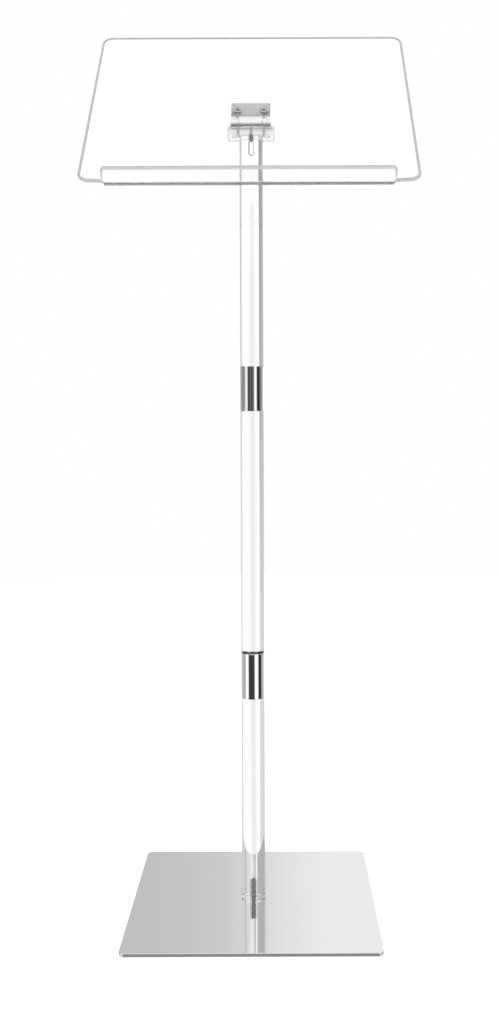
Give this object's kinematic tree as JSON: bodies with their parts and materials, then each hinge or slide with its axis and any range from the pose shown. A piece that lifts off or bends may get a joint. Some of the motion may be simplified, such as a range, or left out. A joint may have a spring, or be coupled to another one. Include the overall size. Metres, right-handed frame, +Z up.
{
  "type": "presentation lectern",
  "caption": "Free-standing clear acrylic lectern: rod post with chrome sleeves on a square mirror-steel base, carrying a tilting reading panel with a book ledge.",
  "frame": {"origin": "on the floor, on the post's axis, at the centre of the square base", "axes": "+Z up along the post, +X to the reader's right, +Y away from the reader, who stands on the -Y side"},
  "size_m": [0.406, 0.305, 1.1385],
  "materials": {
    "mirror_steel": "mirror-polished stainless steel sheet",
    "chrome_sleeve": "bright chrome plate",
    "hinge_steel": "satin stainless steel, polished barrel",
    "screw_steel": "bright zinc-plated steel",
    "clear_acrylic": "clear cast acrylic, flame-polished edges",
    "clear_pad": "thin clear soft vinyl",
    "foot_rubber": "grey soft rubber pad",
    "bush_polymer": "dark acetal friction sleeve"
  },
  "bodies": {
    "stand": {"base_plate": "mirror_steel", "base_feet": "foot_rubber", "base_screw": "screw_steel", "lower_rod": "clear_acrylic", "lower_coupling": "chrome_sleeve", "lower_joint_stud": "screw_steel", "middle_rod": "clear_acrylic", "upper_coupling": "chrome_sleeve", "upper_joint_stud": "screw_steel", "upper_rod": "clear_acrylic", "top_block": "clear_acrylic", "block_screw": "screw_steel", "hinge_lower_leaf": "hinge_steel", "leaf_screws": "screw_steel", "hinge_pin": "hinge_steel"},
    "panel": {"hinge_upper_leaf": "hinge_steel", "hinge_friction_bush": "bush_polymer", "panel_gasket": "clear_pad", "reading_panel": "clear_acrylic", "panel_screws": "screw_steel", "panel_washers": "screw_steel", "panel_nuts": "screw_steel"}
  },
  "joints": [
    {"name": "panel_tilt", "type": "hinge", "parent": "stand", "child": "panel", "pos_m": [0, -0.024, 0.9849], "axis": [1, 0, 0], "range_deg": [-28.5, 41.5]}
  ]
}
